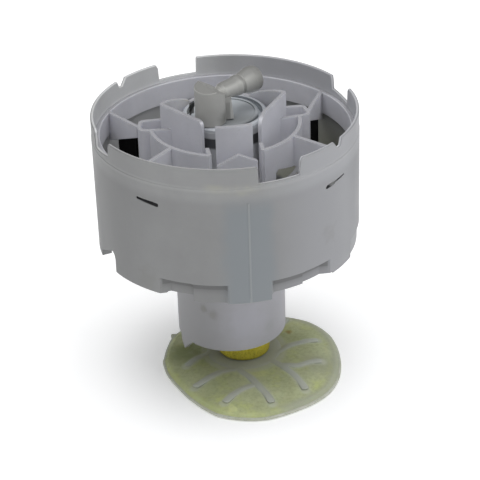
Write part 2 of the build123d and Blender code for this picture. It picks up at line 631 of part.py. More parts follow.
with BuildPart() as armature_windings:
    with BuildSketch(Plane.XY.offset(46.6)):
        Circle(12.4)
        Circle(4.6, mode=Mode.SUBTRACT)
    extrude(amount=5.2)
    fillet(armature_windings.edges().filter_by(GeomType.CIRCLE).group_by(Axis.Z)[0], 1.6)
    with BuildSketch(Plane.XY.offset(86.2)):
        Circle(12.4)
        Circle(4.6, mode=Mode.SUBTRACT)
    extrude(amount=5.2)
    fillet(armature_windings.edges().filter_by(GeomType.CIRCLE).group_by(Axis.Z)[-1], 1.6)
    with BuildSketch(Plane.XY.offset(51.0)):
        with PolarLocations(9.4, 8):
            SlotCenterToCenter(2.8, 3.0)
    extrude(amount=36.0)
armature_windings.part.label = "armature_windings"
export_step(armature_windings.part, "parts/armature_windings.step")

with BuildPart() as commutator:
    with BuildSketch(Plane.XY.offset(91.9)):
        Circle(4.4)
        Circle(SHAFT_R, mode=Mode.SUBTRACT)
    extrude(amount=4.0)
    with BuildSketch(Plane.XY.offset(95.6)):
        Circle(11.2)
        Circle(SHAFT_R, mode=Mode.SUBTRACT)
    extrude(amount=3.8)
    with BuildSketch(Plane.XY.offset(98.2)):
        Circle(4.7)
        Circle(SHAFT_R, mode=Mode.SUBTRACT)
        with PolarLocations(8.4, 8, start_angle=22.5):
            Rectangle(7.6, 0.5)
    extrude(amount=2.0, mode=Mode.SUBTRACT)
commutator.part.move(Pos(0, 0, HEAD))
commutator.part.label = "commutator"
export_step(commutator.part, "parts/commutator.step")

# ---- field magnets and their clips -------------------------------------------
for tag, az in (("left", 180.0), ("right", 0.0)):
    with BuildPart() as magnet:
        with BuildSketch(radial_plane(az - 62)):
            with Locations((16.35, 69.0)):
                Rectangle(3.5, 46.0)
        revolve(axis=Axis.Z, revolution_arc=124)
    magnet.part.label = "magnet_" + tag
    export_step(magnet.part, "parts/magnet_" + tag + ".step")

for tag, az in (("rear", 90.0), ("front", 270.0)):
    with BuildPart() as magnet_clip:
        with BuildSketch(radial_plane(az - 24)):
            with Locations((17.85, 69.0)):
                Rectangle(0.5, 40.0)
        revolve(axis=Axis.Z, revolution_arc=48)
        for end in (-1, 1):
            with BuildSketch(radial_plane(az + end * 24 - (2.0 if end > 0 else 0.0))):
                with Locations((16.6, 69.0)):
                    Rectangle(3.0, 40.0)
            revolve(axis=Axis.Z, revolution_arc=2.0)
    magnet_clip.part.label = "magnet_clip_" + tag
    export_step(magnet_clip.part, "parts/magnet_clip_" + tag + ".step")

# ---- bearing bushes -------------------------------------------------------------
with BuildPart() as upper_bush:
    with BuildSketch(Plane.XY.offset(105.0)):
        Circle(4.0)
        Circle(SHAFT_R + RUN, mode=Mode.SUBTRACT)
    extrude(amount=8.8)
upper_bush.part.move(Pos(0, 0, HEAD))
upper_bush.part.label = "upper_bush"
export_step(upper_bush.part, "parts/upper_bush.step")

with BuildPart() as lower_bush:
    with BuildSketch(Plane.XY.offset(32.2)):
        Circle(3.4)
        Circle(SHAFT_R + RUN, mode=Mode.SUBTRACT)
    extrude(amount=7.8)
lower_bush.part.label = "lower_bush"
export_step(lower_bush.part, "parts/lower_bush.step")

# ---- pumping stage ----------------------------------------------------------------
with BuildPart() as pump_casing:
    with BuildSketch(Plane.XZ):
        with BuildLine():
            Polyline((15.95, 27.4), (18.1, 27.4), (18.1, 36.0), (6.2, 36.0), (6.2, 40.0), (3.4, 40.0), (3.4, 32.2), (2.9, 32.2), (2.9, 31.5), (15.95, 31.5), close=True)
        make_face()
    revolve(axis=Axis.Z)
    with BuildSketch(radial_plane(40.0)):
        with Locations((12.8, 31.5)):
            Rectangle(4.4, 2.4)
    revolve(axis=Axis.Z, revolution_arc=300, mode=Mode.SUBTRACT)
    with BuildSketch(Plane.XY.offset(30.0)):
        with Locations((12.8 * cos(radians(332)), 12.8 * sin(radians(332)))):
            Circle(2.0)
    extrude(amount=8.0, mode=Mode.SUBTRACT)
pump_casing.part.label = "pump_casing"
export_step(pump_casing.part, "parts/pump_casing.step")

with BuildPart() as impeller:
    with BuildSketch(Plane.XY.offset(27.65)):
        Circle(15.6)
        Circle(SHAFT_R, mode=Mode.SUBTRACT)
        with PolarLocations(13.9, 30):
            Rectangle(2.4, 1.6, mode=Mode.SUBTRACT)
    extrude(amount=3.6)
impeller.part.label = "impeller"
export_step(impeller.part, "parts/impeller.step")

with BuildPart() as inlet_cover:
    with BuildSketch(Plane.XY.offset(21.0)):
        Circle(18.1)
    extrude(amount=6.4)
    with BuildSketch(Plane.XY.offset(13.0)):
        with Locations((INLET_X, 0)):
            Circle(10.3)
    extrude(amount=9.0)
    with BuildSketch(Plane.XY.offset(12.0)):
        with Locations((INLET_X, 0)):
            Circle(8.0)
    extrude(amount=11.0, mode=Mode.SUBTRACT)
    with BuildSketch(radial_plane(0.0)):
        with Locations((12.8, 27.4)):
            Rectangle(4.4, 2.4)
    revolve(axis=Axis.Z, revolution_arc=300, mode=Mode.SUBTRACT)
    with BuildSketch(Plane.XY.offset(20.0)):
        with Locations((11.0, 0)):
            Circle(1.9)
    extrude(amount=9.0, mode=Mode.SUBTRACT)
    with BuildSketch(Plane.XY.offset(25.6)):
        Circle(2.6)
    extrude(amount=3.0, mode=Mode.SUBTRACT)
inlet_cover.part.label = "inlet_cover"
export_step(inlet_cover.part, "parts/inlet_cover.step")

with BuildPart() as inlet_ring:
    with BuildSketch(Plane(origin=(INLET_X, 0, 0), x_dir=(1, 0, 0), z_dir=(0, -1, 0))):
        with BuildLine():
            Polyline((10.3, 5.4), (11.7, 5.4), (12.1, 5.9), (12.1, 19.7), (11.8, 20.0), (10.3, 20.0), close=True)
        make_face()
    revolve(axis=Axis((INLET_X, 0, 0), (0, 0, 1)))
inlet_ring.part.label = "inlet_ring"
export_step(inlet_ring.part, "parts/inlet_ring.step")

# ---- strainer: moulded hub and ribs on a flat mesh bag ------------------------------
MESH_TOP = 4.4
with BuildPart() as strainer_frame:
    with BuildSketch(Plane.XY.offset(MESH_TOP)):
        with Locations((INLET_X, 0)):
            Circle(17.2)
            Circle(8.2, mode=Mode.SUBTRACT)
    extrude(amount=0.95)
    with BuildSketch(Plane.XY.offset(MESH_TOP)):
        with Locations((INLET_X, 0)):
            Circle(10.2)
            Circle(8.2, mode=Mode.SUBTRACT)
    extrude(amount=8.0)
    with BuildSketch(Plane.XY.offset(MESH_TOP)):
        with BuildLine():
            Spline((-5.0, -0.2), (-8.8, -1.4), (-12.1, -2.9), (-17.8, -7.7), (-22.0, -12.5))
        trace(line_width=2.6)
        with BuildLine():
            Spline((2.5, -15.6), (0.4, -17.0), (-5.6, -18.6), (-11.2, -23.2), (-18.2, -30.1))
        trace(line_width=2.8)
        with BuildLine():
            Spline((1.5, -15.2), (3.4, -18.7), (7.3, -23.7), (10.8, -30.3), (14.3, -37.2), (17.0, -44.6))
        trace(line_width=2.8)
        with BuildLine():
            Spline((10.7, -30.1), (6.2, -31.8), (0.1, -36.9), (-4.5, -43.0))
        trace(line_width=2.8)
        with BuildLine():
            Spline((15.0, -10.9), (19.5, -12.1), (26.6, -21.2), (30.2, -28.2), (32.6, -34.9))
        trace(line_width=2.8)
        with BuildLine():
            Spline((22.0, -14.6), (29.4, -15.5), (35.6, -13.1), (41.2, -12.3))
        trace(line_width=2.8)
        with BuildLine():
            Spline((20.0, -4.8), (26.8, 1.6), (34.1, 4.5), (40.3, 5.9))
        trace(line_width=2.8)
        with BuildLine():
            Spline((16.5, 12.4), (20.5, 17.1), (24.5, 22.3), (26.5, 25.9))
        trace(line_width=2.6)
        with BuildLine():
            Spline((0.5, 16.6), (-1.5, 21.2), (-2.0, 27.4))
        trace(line_width=2.6)
        with BuildLine():
            Spline((-9.0, 9.3), (-14.0, 12.9), (-19.5, 15.5))
        trace(line_width=2.6)
    extrude(amount=0.95)
    with BuildSketch(Plane.XY.offset(MESH_TOP - 1)):
        with Locations((INLET_X, 0)):
            Circle(8.2)
    extrude(amount=4.0, mode=Mode.SUBTRACT)
strainer_frame.part.label = "strainer_frame"
export_step(strainer_frame.part, "parts/strainer_frame.step")

OUTLINE = [
    (-32.9, -0.5), (-33.3, -5.5), (-31.0, -15.8), (-26.0, -26.1), (-20.1, -36.1), (-11.9, -45.7), (-5.3, -50.4),
    (6.5, -53.3), (18.4, -51.8), (33.8, -43.6), (43.0, -34.9), (47.8, -25.7), (50.0, -15.9), (50.4, -5.7),
    (49.3, 4.7), (45.9, 15.5), (37.8, 25.9), (26.5, 31.5), (12.0, 34.2), (-6.0, 33.4), (-19.5, 28.0), (-28.4, 18.0), (-31.6, 8.3),
]
with BuildPart() as strainer_mesh:
    with BuildSketch(Plane.XY):
        with BuildLine():
            Spline(*OUTLINE, periodic=True)
        make_face()
    extrude(amount=MESH_TOP)
    fillet(strainer_mesh.faces().sort_by(Axis.Z)[-1].outer_wire().edges(), 3.4)
    with BuildSketch(Plane.XY.offset(1.4)):
        with Locations((INLET_X, 0)):
            Circle(7.9)
    extrude(amount=6.0, mode=Mode.SUBTRACT)
strainer_mesh.part.label = "strainer_mesh"
export_step(strainer_mesh.part, "parts/strainer_mesh.step")
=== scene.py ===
# In-tank fuel pump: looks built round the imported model.
# Metres, the same frame as the CAD.  Azimuth: right 0, back 90, left 180, front 270.
import math
import random

import bpy
import bmesh
from mathutils import Vector, Matrix


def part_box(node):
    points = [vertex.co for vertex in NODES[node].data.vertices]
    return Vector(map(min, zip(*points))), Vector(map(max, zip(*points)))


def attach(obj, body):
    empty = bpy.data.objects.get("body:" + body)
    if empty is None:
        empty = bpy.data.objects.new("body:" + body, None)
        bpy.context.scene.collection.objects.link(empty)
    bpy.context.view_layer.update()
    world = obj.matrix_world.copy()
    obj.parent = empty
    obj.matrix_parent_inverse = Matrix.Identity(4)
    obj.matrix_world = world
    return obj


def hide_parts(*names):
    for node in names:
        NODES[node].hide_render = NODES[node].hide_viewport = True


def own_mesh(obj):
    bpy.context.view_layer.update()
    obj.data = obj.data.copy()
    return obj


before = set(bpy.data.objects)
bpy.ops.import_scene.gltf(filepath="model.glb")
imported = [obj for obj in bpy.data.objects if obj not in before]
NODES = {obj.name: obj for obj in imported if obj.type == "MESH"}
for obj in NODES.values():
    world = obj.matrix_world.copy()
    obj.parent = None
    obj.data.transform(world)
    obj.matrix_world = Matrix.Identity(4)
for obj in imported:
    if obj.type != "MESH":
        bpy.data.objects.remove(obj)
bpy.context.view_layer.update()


SCENE = bpy.context.scene
MM = 0.001

# ------------------------------------------------------------------ camera
TARGET = Vector((0.004889, 0, 0.06338))
PITCH, ROLL, DIST = 0.518, -0.0327, 0.8
fwd = Vector((0, math.cos(PITCH), -math.sin(PITCH)))
eye = TARGET - fwd * DIST
right = Vector((1, 0, 0))
upward = right.cross(fwd)
r2 = math.cos(ROLL) * right + math.sin(ROLL) * upward
u2 = -math.sin(ROLL) * right + math.cos(ROLL) * upward
cam = bpy.data.cameras.new("camera")
cam.lens, cam.sensor_width = 131.53, 36
cam.clip_start, cam.clip_end = 0.01, 20
cam_ob = bpy.data.objects.new("camera", cam)
SCENE.collection.objects.link(cam_ob)
cam_ob.matrix_world = Matrix(((r2.x, u2.x, -fwd.x, eye.x), (r2.y, u2.y, -fwd.y, eye.y), (r2.z, u2.z, -fwd.z, eye.z), (0, 0, 0, 1)))
SCENE.camera = cam_ob
SCENE.view_settings.view_transform = "Standard"


# ------------------------------------------------------------------ shader helpers
class Net:
    """A small builder for one material's nodes."""

    def __init__(self, name):
        self.mat = bpy.data.materials.new(name)
        self.mat.use_nodes = True
        self.t = self.mat.node_tree
        self.bsdf = next(n for n in self.t.nodes if n.type == "BSDF_PRINCIPLED")
        self._co = None

    def new(self, kind, **props):
        n = self.t.nodes.new(kind)
        for k, v in props.items():
            setattr(n, k, v)
        return n

    def put(self, socket, value):
        if isinstance(value, bpy.types.NodeSocket):
            self.t.links.new(value, socket)
        elif value is not None:
            socket.default_value = value

    @property
    def co(self):
        if self._co is None:
            self._co = self.new("ShaderNodeTexCoord").outputs["Object"]
            sep = self.new("ShaderNodeSeparateXYZ")
            self.put(sep.inputs[0], self._co)
            self.x, self.y, self.z = sep.outputs
        return self._co

    def math(self, op, a, b=None, clamp=False):
        n = self.new("ShaderNodeMath", operation=op, use_clamp=clamp)
        self.put(n.inputs[0], a)
        if b is not None:
            self.put(n.inputs[1], b)
        return n.outputs[0]

    def step(self, v, a, b, lo=0.0, hi=1.0):
        n = self.new("ShaderNodeMapRange", interpolation_type="SMOOTHSTEP")
        self.put(n.inputs[0], v)
        n.inputs[1].default_value, n.inputs[2].default_value = a, b
        n.inputs[3].default_value, n.inputs[4].default_value = lo, hi
        return n.outputs[0]

    def line(self, v, a, b, lo, hi):
        n = self.new("ShaderNodeMapRange", clamp=True)
        self.put(n.inputs[0], v)
        n.inputs[1].default_value, n.inputs[2].default_value = a, b
        n.inputs[3].default_value, n.inputs[4].default_value = lo, hi
        return n.outputs[0]

    def noise(self, scale, detail=3.0, rough=0.55, stretch=None, at=(0, 0, 0)):
        n = self.new("ShaderNodeTexNoise")
        v = self.co
        if stretch or at != (0, 0, 0):
            m = self.new("ShaderNodeMapping")
            self.put(m.inputs[0], v)
            m.inputs["Location"].default_value = at
            m.inputs["Scale"].default_value = stretch or (1, 1, 1)
            v = m.outputs[0]
        self.put(n.inputs["Vector"], v)
        n.inputs["Scale"].default_value = scale
        n.inputs["Detail"].default_value = detail
        n.inputs["Roughness"].default_value = rough
        return n.outputs[0]

    def mix(self, f, a, b, how="MIX"):
        n = self.new("ShaderNodeMix", data_type="RGBA", blend_type=how)
        self.put(n.inputs[0], f)
        for s, v in ((n.inputs[6], a), (n.inputs[7], b)):
            if isinstance(v, (tuple, list)):
                v = (*v[:3], 1.0)
            self.put(s, v)
        return n.outputs[2]

    def spot(self, p, r, soft=0.4, ragged=0.0):
        """1 at the point p (mm), fading to 0 at r mm."""
        n = self.new("ShaderNodeVectorMath", operation="DISTANCE")
        self.put(n.inputs[0], self.co)
        n.inputs[1].default_value = tuple(c * MM for c in p)
        d = n.outputs["Value"]
        if ragged:
            d = self.math("ADD", d, self.line(self.noise(260, 3), 0.3, 0.7, -ragged * MM, ragged * MM))
        return self.step(d, r * soft * MM, r * MM, 1.0, 0.0)

    def azimuth(self):
        self.co
        return self.math("ARCTAN2", self.y, self.x)

    def radius(self):
        self.co
        return self.math("SQRT", self.math("ADD", self.math("MULTIPLY", self.x, self.x), self.math("MULTIPLY", self.y, self.y)))

    def facing_up(self, a=0.55, b=0.9):
        n = self.new("ShaderNodeSeparateXYZ")
        self.put(n.inputs[0], self.new("ShaderNodeNewGeometry").outputs["Normal"])
        return self.step(n.outputs[2], a, b)

    def bump(self, height, strength, dist, soft=0.0):
        n = self.new("ShaderNodeBump")
        n.inputs["Strength"].default_value = strength
        n.inputs["Distance"].default_value = dist
        self.put(n.inputs["Height"], height)
        if soft:
            b = self.new("ShaderNodeBevel", samples=4)
            b.inputs[0].default_value = soft
            self.put(n.inputs["Normal"], b.outputs[0])
        self.put(self.bsdf.inputs["Normal"], n.outputs[0])

    def finish(self, colour, rough, metal=0.0, **consts):
        if isinstance(colour, (tuple, list)):
            colour = (*colour[:3], 1.0)
        self.put(self.bsdf.inputs["Base Color"], colour)
        self.put(self.bsdf.inputs["Roughness"], rough)
        self.bsdf.inputs["Metallic"].default_value = metal
        for k, v in consts.items():
            self.bsdf.inputs[k.replace("_", " ")].default_value = v
        return self.mat


def moulded(name, base, darker=0.9, rough=(0.42, 0.56), sss=0.0, edge=0.00025, grain=0.00003, painted_side_light=None, shade=None, marks=(), painted_top_shade=0.0, shine=0.42):
    """Injection-moulded plastic: slow mottling, faint flow streaks, fine grain, stains and painted light and shade from
    the marks, painted shade on faces that look up.
    """
    g = Net(name)
    g.co
    mott = g.noise(38, 4, 0.6)
    col = g.mix(g.line(mott, 0.3, 0.7, 0, 1), [c * darker for c in base], [c * 1.05 for c in base])
    streak = g.noise(70, 2, 0.5, stretch=(1, 1, 0.12))
    col = g.mix(g.line(streak, 0.45, 0.7, 0, 0.22), col, [c * 0.86 for c in base])
    speck = g.noise(900, 2, 0.5)
    col = g.mix(g.line(speck, 0.62, 0.75, 0, 0.16), col, [c * 0.72 for c in base])
    # Painted light on one side of the part, in its own tint.
    if painted_side_light:
        tint, mask = painted_side_light
        col = g.mix(mask(g), col, tint)
    for tint, mask in marks:
        col = g.mix(mask(g), col, tint)
    # Painted shade: faces that look up are painted darker, towards 0.35 of the base colour.
    if painted_top_shade:
        col = g.mix(g.math("MULTIPLY", g.facing_up(), painted_top_shade), col, [c * 0.35 for c in base])
    if shade:
        dark = shade(g)
        n = g.new("ShaderNodeMix", data_type="RGBA", blend_type="MULTIPLY")
        n.inputs[0].default_value = 1.0
        g.put(n.inputs[6], col)
        comb = g.new("ShaderNodeCombineColor")
        for i, s in enumerate(comb.inputs[:3]):
            g.put(s, dark[i] if isinstance(dark, (tuple, list)) else dark)
        g.put(n.inputs[7], comb.outputs[0])
        col = n.outputs[2]
    fine = g.math("ADD", g.math("MULTIPLY", g.noise(1500, 2, 0.5), 0.5), g.noise(160, 3, 0.5))
    g.bump(fine, 0.35, grain * 2, edge)
    consts = {"Specular_IOR_Level": shine}
    if sss:
        consts.update(Subsurface_Weight=sss, Subsurface_Scale=0.0022, Subsurface_Radius=(1.0, 0.95, 0.85))
    return g.finish(col, g.line(mott, 0.3, 0.7, rough[0], rough[1]), **consts)


def metal(name, base, rough=(0.25, 0.4), stretch=(1, 1, 1), scale=300, dark=0.6, bump=0.00002, extra=None, metallic=1.0):
    g = Net(name)
    g.co
    a = g.noise(scale, 4, 0.6, stretch=stretch)
    col = g.mix(g.line(a, 0.3, 0.7, 0, 1), [c * dark for c in base], base)
    b = g.noise(45, 3, 0.5)
    col = g.mix(g.line(b, 0.5, 0.75, 0, 0.5), col, [c * dark * 0.8 for c in base])
    if extra:
        col = extra(g, col)
    g.bump(a, 0.4, bump, 0.00012)
    return g.finish(col, g.line(a, 0.3, 0.7, rough[0], rough[1]), metallic)


# ------------------------------------------------------------------ materials
POT = (0.275, 0.277, 0.277)
STAR = (0.70, 0.70, 0.745)
SLIT_L = (-32.9, -46.6, 111.0)
SLIT_R = (41.5, -39.9, 111.2)


# Painted light: the right side of the bucket is painted lighter and bluer.
def pot_right_painted_light(g):
    az = g.azimuth()
    right_side = g.step(az, math.radians(-83), math.radians(-48), 0, 0.85)
    return g.math("MULTIPLY", right_side, g.step(az, math.radians(95), math.radians(60), 0, 1))


def pot_band(g):
    az = g.azimuth()
    az = g.math("ADD", az, g.line(g.noise(55, 3), 0.3, 0.7, -0.03, 0.03))
    m = g.math("MULTIPLY", g.step(az, math.radians(-95), math.radians(-88), 0, 1), g.step(az, math.radians(-74), math.radians(-69), 1, 0))
    return g.math("MULTIPLY", m, g.step(g.z, 0.1185, 0.108, 0, 0.9))


def pot_seam(g):
    """Painted highlight along the moulding seam."""
    az = g.azimuth()
    m = g.math("MULTIPLY", g.step(az, math.radians(-81.95), math.radians(-81.65), 0, 1), g.step(az, math.radians(-81.0), math.radians(-80.7), 1, 0))
    return g.math("MULTIPLY", m, g.step(g.z, 0.1145, 0.113, 0, 0.32))


def pot_recess(g):
    """Painted shade at the top of the set-back parts of the skirt on the front, with a dark painted line across it."""
    back = g.math("MULTIPLY", g.step(g.radius(), 0.0586, 0.0580, 0, 1), g.step(g.radius(), 0.0545, 0.0552, 0, 1))
    high = g.math("MAXIMUM", g.step(g.z, 0.0685, 0.0752, 0.05, 0.6), g.step(g.z, 0.0713, 0.0719, 0, 0.6))
    high = g.math("MULTIPLY", high, g.step(g.z, 0.0775, 0.0765, 0, 1))
    az = g.azimuth()
    front = g.math("MULTIPLY", g.step(az, math.radians(-160), math.radians(-150), 0, 1), g.step(az, math.radians(-20), math.radians(-28), 0, 1))
    return g.math("MULTIPLY", g.math("MULTIPLY", back, high), front)


def pot_slits(g):
    """Painted shade: the inside of the latch slits is painted near black."""
    inside = g.step(g.radius(), 0.0589, 0.0587, 0, 1)
    a = g.spot(SLIT_L, 8, 0.8)
    b = g.spot(SLIT_R, 3.4, 0.7)
    return g.math("MULTIPLY", inside, g.math("MAXIMUM", a, b))


SLIT_R_END = (45.2, -37.0, 112.6)


def slit_end_painted_light(g):
    """Painted light at the far end of the right slit, on the slit walls and on the seat ring behind them."""
    return g.math("MULTIPLY", g.step(g.radius(), 0.0588, 0.0586, 0, 1), g.math("MULTIPLY", g.spot(SLIT_R_END, 4.2, 0.5), g.step(g.radius(), 0.0535, 0.0545, 0, 1)))


def pot_stain(g):
    az = g.azimuth()
    m = g.math("MULTIPLY", g.step(az, math.radians(-103), math.radians(-96), 0, 1), g.step(az, math.radians(-84), math.radians(-72), 1, 0))
    band = g.math("MULTIPLY", g.step(g.z, 0.1165, 0.1195, 0, 1), g.step(g.z, 0.1215, 0.124, 1, 0))
    return g.math("MULTIPLY", g.math("MULTIPLY", m, band), g.line(g.noise(140, 3), 0.35, 0.65, 0.0, 0.3))


def pot_step_line(g):
    band = g.math("MULTIPLY", g.step(g.z, 0.1188, 0.1203, 0, 1), g.step(g.z, 0.1207, 0.1222, 1, 0))
    return g.math("MULTIPLY", band, 0.16)


def pot_shade(g):
    """Painted light and shade on the bucket: deep inside, the wall is painted lighter, and on the right darker and
    warmer instead; painted light on the upper inner wall, the back-left inside and the outer wall under the rim;
    painted shade on the back-right inner rim and the outer left and right sides.
    """
    inner = g.math("MULTIPLY", g.step(g.radius(), 0.0586, 0.0581, 0, 1), g.step(g.z, 0.0775, 0.079, 0, 1))
    deep = g.step(g.z, 0.120, 0.095, 0, 1)
    k = g.math("MULTIPLY", inner, deep)
    az = g.azimuth()
    olive = g.math("MULTIPLY", g.step(az, math.radians(-50), math.radians(-25), 0, 1), g.step(az, math.radians(75), math.radians(50), 0, 1))
    # Painted light on the upper inner wall.
    painted_light_offset = g.math("MULTIPLY", g.math("MULTIPLY", inner, g.step(g.z, 0.112, 0.121, 0, 1)), 0.80)
    painted_light_offset = g.math("ADD", painted_light_offset, g.math("MULTIPLY", g.math("MULTIPLY", inner, g.step(g.z, 0.1203, 0.1212, 0, 1)), 0.22))
    # Painted light on the back-left inside.
    back_left = g.math("MULTIPLY", g.math("MULTIPLY", inner, g.step(g.z, 0.100, 0.112, 0, 0.60)), g.math("MAXIMUM", g.step(az, math.radians(85), math.radians(105), 0, 1), g.step(az, math.radians(-150), math.radians(-162), 0, 1)))
    painted_light_offset = g.math("ADD", painted_light_offset, back_left)
    # Painted shade on the back-right inner rim.
    back_right = g.math("MULTIPLY", g.step(az, math.radians(82), math.radians(66), 0, 0.34), g.step(az, math.radians(0), math.radians(25), 0, 1))
    painted_light_offset = g.math("SUBTRACT", painted_light_offset, g.math("MULTIPLY", g.math("MULTIPLY", inner, g.step(g.z, 0.1195, 0.1206, 0, 1)), back_right))
    # Painted light on the outer wall under the rim.
    under_rim = g.math("MULTIPLY", g.step(g.radius(), 0.0584, 0.0588, 0, 0.17), g.step(g.z, 0.1125, 0.1175, 0, 1))
    painted_light_offset = g.math("ADD", painted_light_offset, under_rim)
    # Painted shade on the outer left and right sides.
    outer_left = g.math("MULTIPLY", g.step(g.radius(), 0.0584, 0.0588, 0, 0.21), g.step(az, math.radians(-118), math.radians(-145), 0, 1))
    outer_right = g.math("MULTIPLY", g.step(g.radius(), 0.0584, 0.0588, 0, 0.17), g.math("MULTIPLY", g.step(az, math.radians(-32), math.radians(-18), 0, 1), g.step(az, math.radians(60), math.radians(30), 0, 1)))
    painted_light_offset = g.math("SUBTRACT", painted_light_offset, g.math("ADD", outer_left, outer_right))
    r = g.math("SUBTRACT", g.math("ADD", 1.0, painted_light_offset), g.math("MULTIPLY", k, g.line(olive, 0, 1, -0.9, 0.05)))
    b = g.math("SUBTRACT", g.math("ADD", 1.0, painted_light_offset), g.math("MULTIPLY", k, g.line(olive, 0, 1, -0.9, 0.22)))
    return r, r, b


pot = moulded("pot_plastic", POT, painted_side_light=((0.325, 0.327, 0.343), pot_right_painted_light), shade=pot_shade, sss=0.06, painted_top_shade=0.5,
              marks=[((0.24, 0.262, 0.277), pot_band), ((0.40, 0.41, 0.41), pot_seam), ((0.10, 0.10, 0.10), pot_recess), ((0.95, 0.95, 0.95), slit_end_painted_light), ((0.012, 0.012, 0.012), pot_slits), ((0.42, 0.40, 0.28), pot_stain), ((0.5, 0.5, 0.5), pot_step_line),
                     ((0.2, 0.2, 0.18), lambda g: g.math("MULTIPLY", g.spot((-35, -47, 72), 9, 0.2, 2), 0.25)),
                     ((0.22, 0.22, 0.2), lambda g: g.math("MULTIPLY", g.spot((43, -40, 88), 6, 0.2, 3), 0.2))])


def star_shade(g):
    deep = g.step(g.z, 0.116, 0.09, 0, 1)
    k = g.math("MULTIPLY", deep, g.step(g.z, 0.06, 0.07, 0, 1))
    r = g.math("SUBTRACT", 1.0, g.math("MULTIPLY", k, 0.25))
    b = g.math("SUBTRACT", 1.0, g.math("MULTIPLY", k, 0.30))
    return r, r, b


def star_slits(g):
    """Painted shade: the seat ring is painted near black just behind the two latch slits."""
    outer = g.step(g.radius(), 0.0545, 0.0555, 0, 1)
    return g.math("MULTIPLY", outer, g.math("MAXIMUM", g.spot(SLIT_L, 8, 0.8), g.spot(SLIT_R, 3.4, 0.7)))


star = moulded("star_plastic", (0.73, 0.73, 0.775), marks=[((0.95, 0.95, 0.95), slit_end_painted_light), ((0.012, 0.012, 0.012), star_slits)], shade=star_shade, sss=0.2, painted_top_shade=0.88)


# Painted shade: the left side of the neck is painted darker.
def neck_left_painted_shade(g):
    az = g.azimuth()
    return g.math("MULTIPLY", g.step(az, math.radians(-78), math.radians(-125), 0, 0.75), g.step(az, math.radians(-175), math.radians(-165), 0, 1))


def on_neck(az, z, r=30.2):
    a = math.radians(az)
    return (r * math.cos(a), r * math.sin(a), z)


neck = moulded("neck_plastic", (0.42, 0.415, 0.445), sss=0.05, marks=[
    ((0.27, 0.27, 0.27), neck_left_painted_shade),
    ((0.20, 0.20, 0.17), lambda g: g.math("MULTIPLY", g.spot(on_neck(240, 40.8, 25.4), 3.0, 0.1, 0.9), 0.55)),
    ((0.22, 0.22, 0.19), lambda g: g.math("MULTIPLY", g.spot(on_neck(250, 38.2, 25.4), 3.8, 0.1, 0.9), 0.5)),
    ((0.26, 0.27, 0.25), lambda g: g.math("MULTIPLY", g.spot(on_neck(313, 28.5, 25.4), 5, 0.1, 1), 0.3)),
    # Painted highlight: a lighter, bluish band on the front-right of the neck.
    ((0.44, 0.44, 0.49), lambda g: g.math("MULTIPLY", g.spot(on_neck(288, 32, 27), 16, 0.2, 3), 0.5))])
PORT = (-0.0061, -0.010)
TUBE_AZ, TUBE_TILT, TUBE_Z = math.radians(39.6), math.radians(2.2), 0.14035


def along_tube(g):
    """Distance along the outlet tube, in metres."""
    n = g.new("ShaderNodeVectorMath", operation="SUBTRACT")
    g.put(n.inputs[0], g.co)
    n.inputs[1].default_value = (PORT[0], PORT[1], TUBE_Z)
    d = g.new("ShaderNodeVectorMath", operation="DOT_PRODUCT")
    g.put(d.inputs[0], n.outputs[0])
    d.inputs[1].default_value = (math.cos(TUBE_AZ) * math.cos(TUBE_TILT), math.sin(TUBE_AZ) * math.cos(TUBE_TILT), math.sin(TUBE_TILT))
    return d.outputs["Value"]


def tube_bulb(g):
    """The bulb is painted darker towards its end."""
    return g.step(along_tube(g), 0.0170, 0.0262, 0.0, 0.68)


# Painted shade in the groove on the outlet tube.
def tube_groove(g):
    s = along_tube(g)
    return g.math("MULTIPLY", g.step(s, 0.0152, 0.0159, 0, 0.5), g.step(s, 0.0176, 0.0169, 0, 1))


def port_distance(g):
    dx = g.math("SUBTRACT", g.x, PORT[0])
    dy = g.math("SUBTRACT", g.y, PORT[1])
    return g.math("SQRT", g.math("ADD", g.math("MULTIPLY", dx, dx), g.math("MULTIPLY", dy, dy)))


# Painted shade on the gusset's face.
def gusset_side_painted_shade(g):
    d = port_distance(g)
    return g.math("MULTIPLY", g.math("MULTIPLY", g.step(d, 0.0066, 0.0069, 0, 0.7), g.step(d, 0.0091, 0.0086, 0, 1)), g.step(g.z, 0.1372, 0.1362, 0, 1))


# Painted highlight on the gusset's outer edge.
def gusset_edge_painted_highlight(g):
    d = port_distance(g)
    return g.math("MULTIPLY", g.step(d, 0.0086, 0.0090, 0, 0.8), g.step(g.z, 0.1385, 0.1372, 0, 1))


# The last mark is painted shadow at the elbow's foot, beside the gusset.
grey = moulded("grey_plastic", (0.465, 0.463, 0.44), rough=(0.35, 0.5), painted_top_shade=0.88, marks=[((0.13, 0.128, 0.118), tube_bulb), ((0.2, 0.198, 0.185), tube_groove), ((0.33, 0.328, 0.312), gusset_side_painted_shade), ((0.62, 0.62, 0.60), gusset_edge_painted_highlight), ((0.16, 0.158, 0.145), lambda g: g.spot((-2.2, -11.2, 131.5), 5.5, 0.1, 0.5))])
def cap_ring(g):
    """Painted light on the narrow step round the disc, so that its shade hardly shows."""
    return g.math("MULTIPLY", g.math("MULTIPLY", g.step(g.radius(), 0.0145, 0.0150, 0, 0.85), g.step(g.z, 0.1240, 0.1250, 0, 1)), g.step(g.y, -0.004, 0.002, 0, 1))


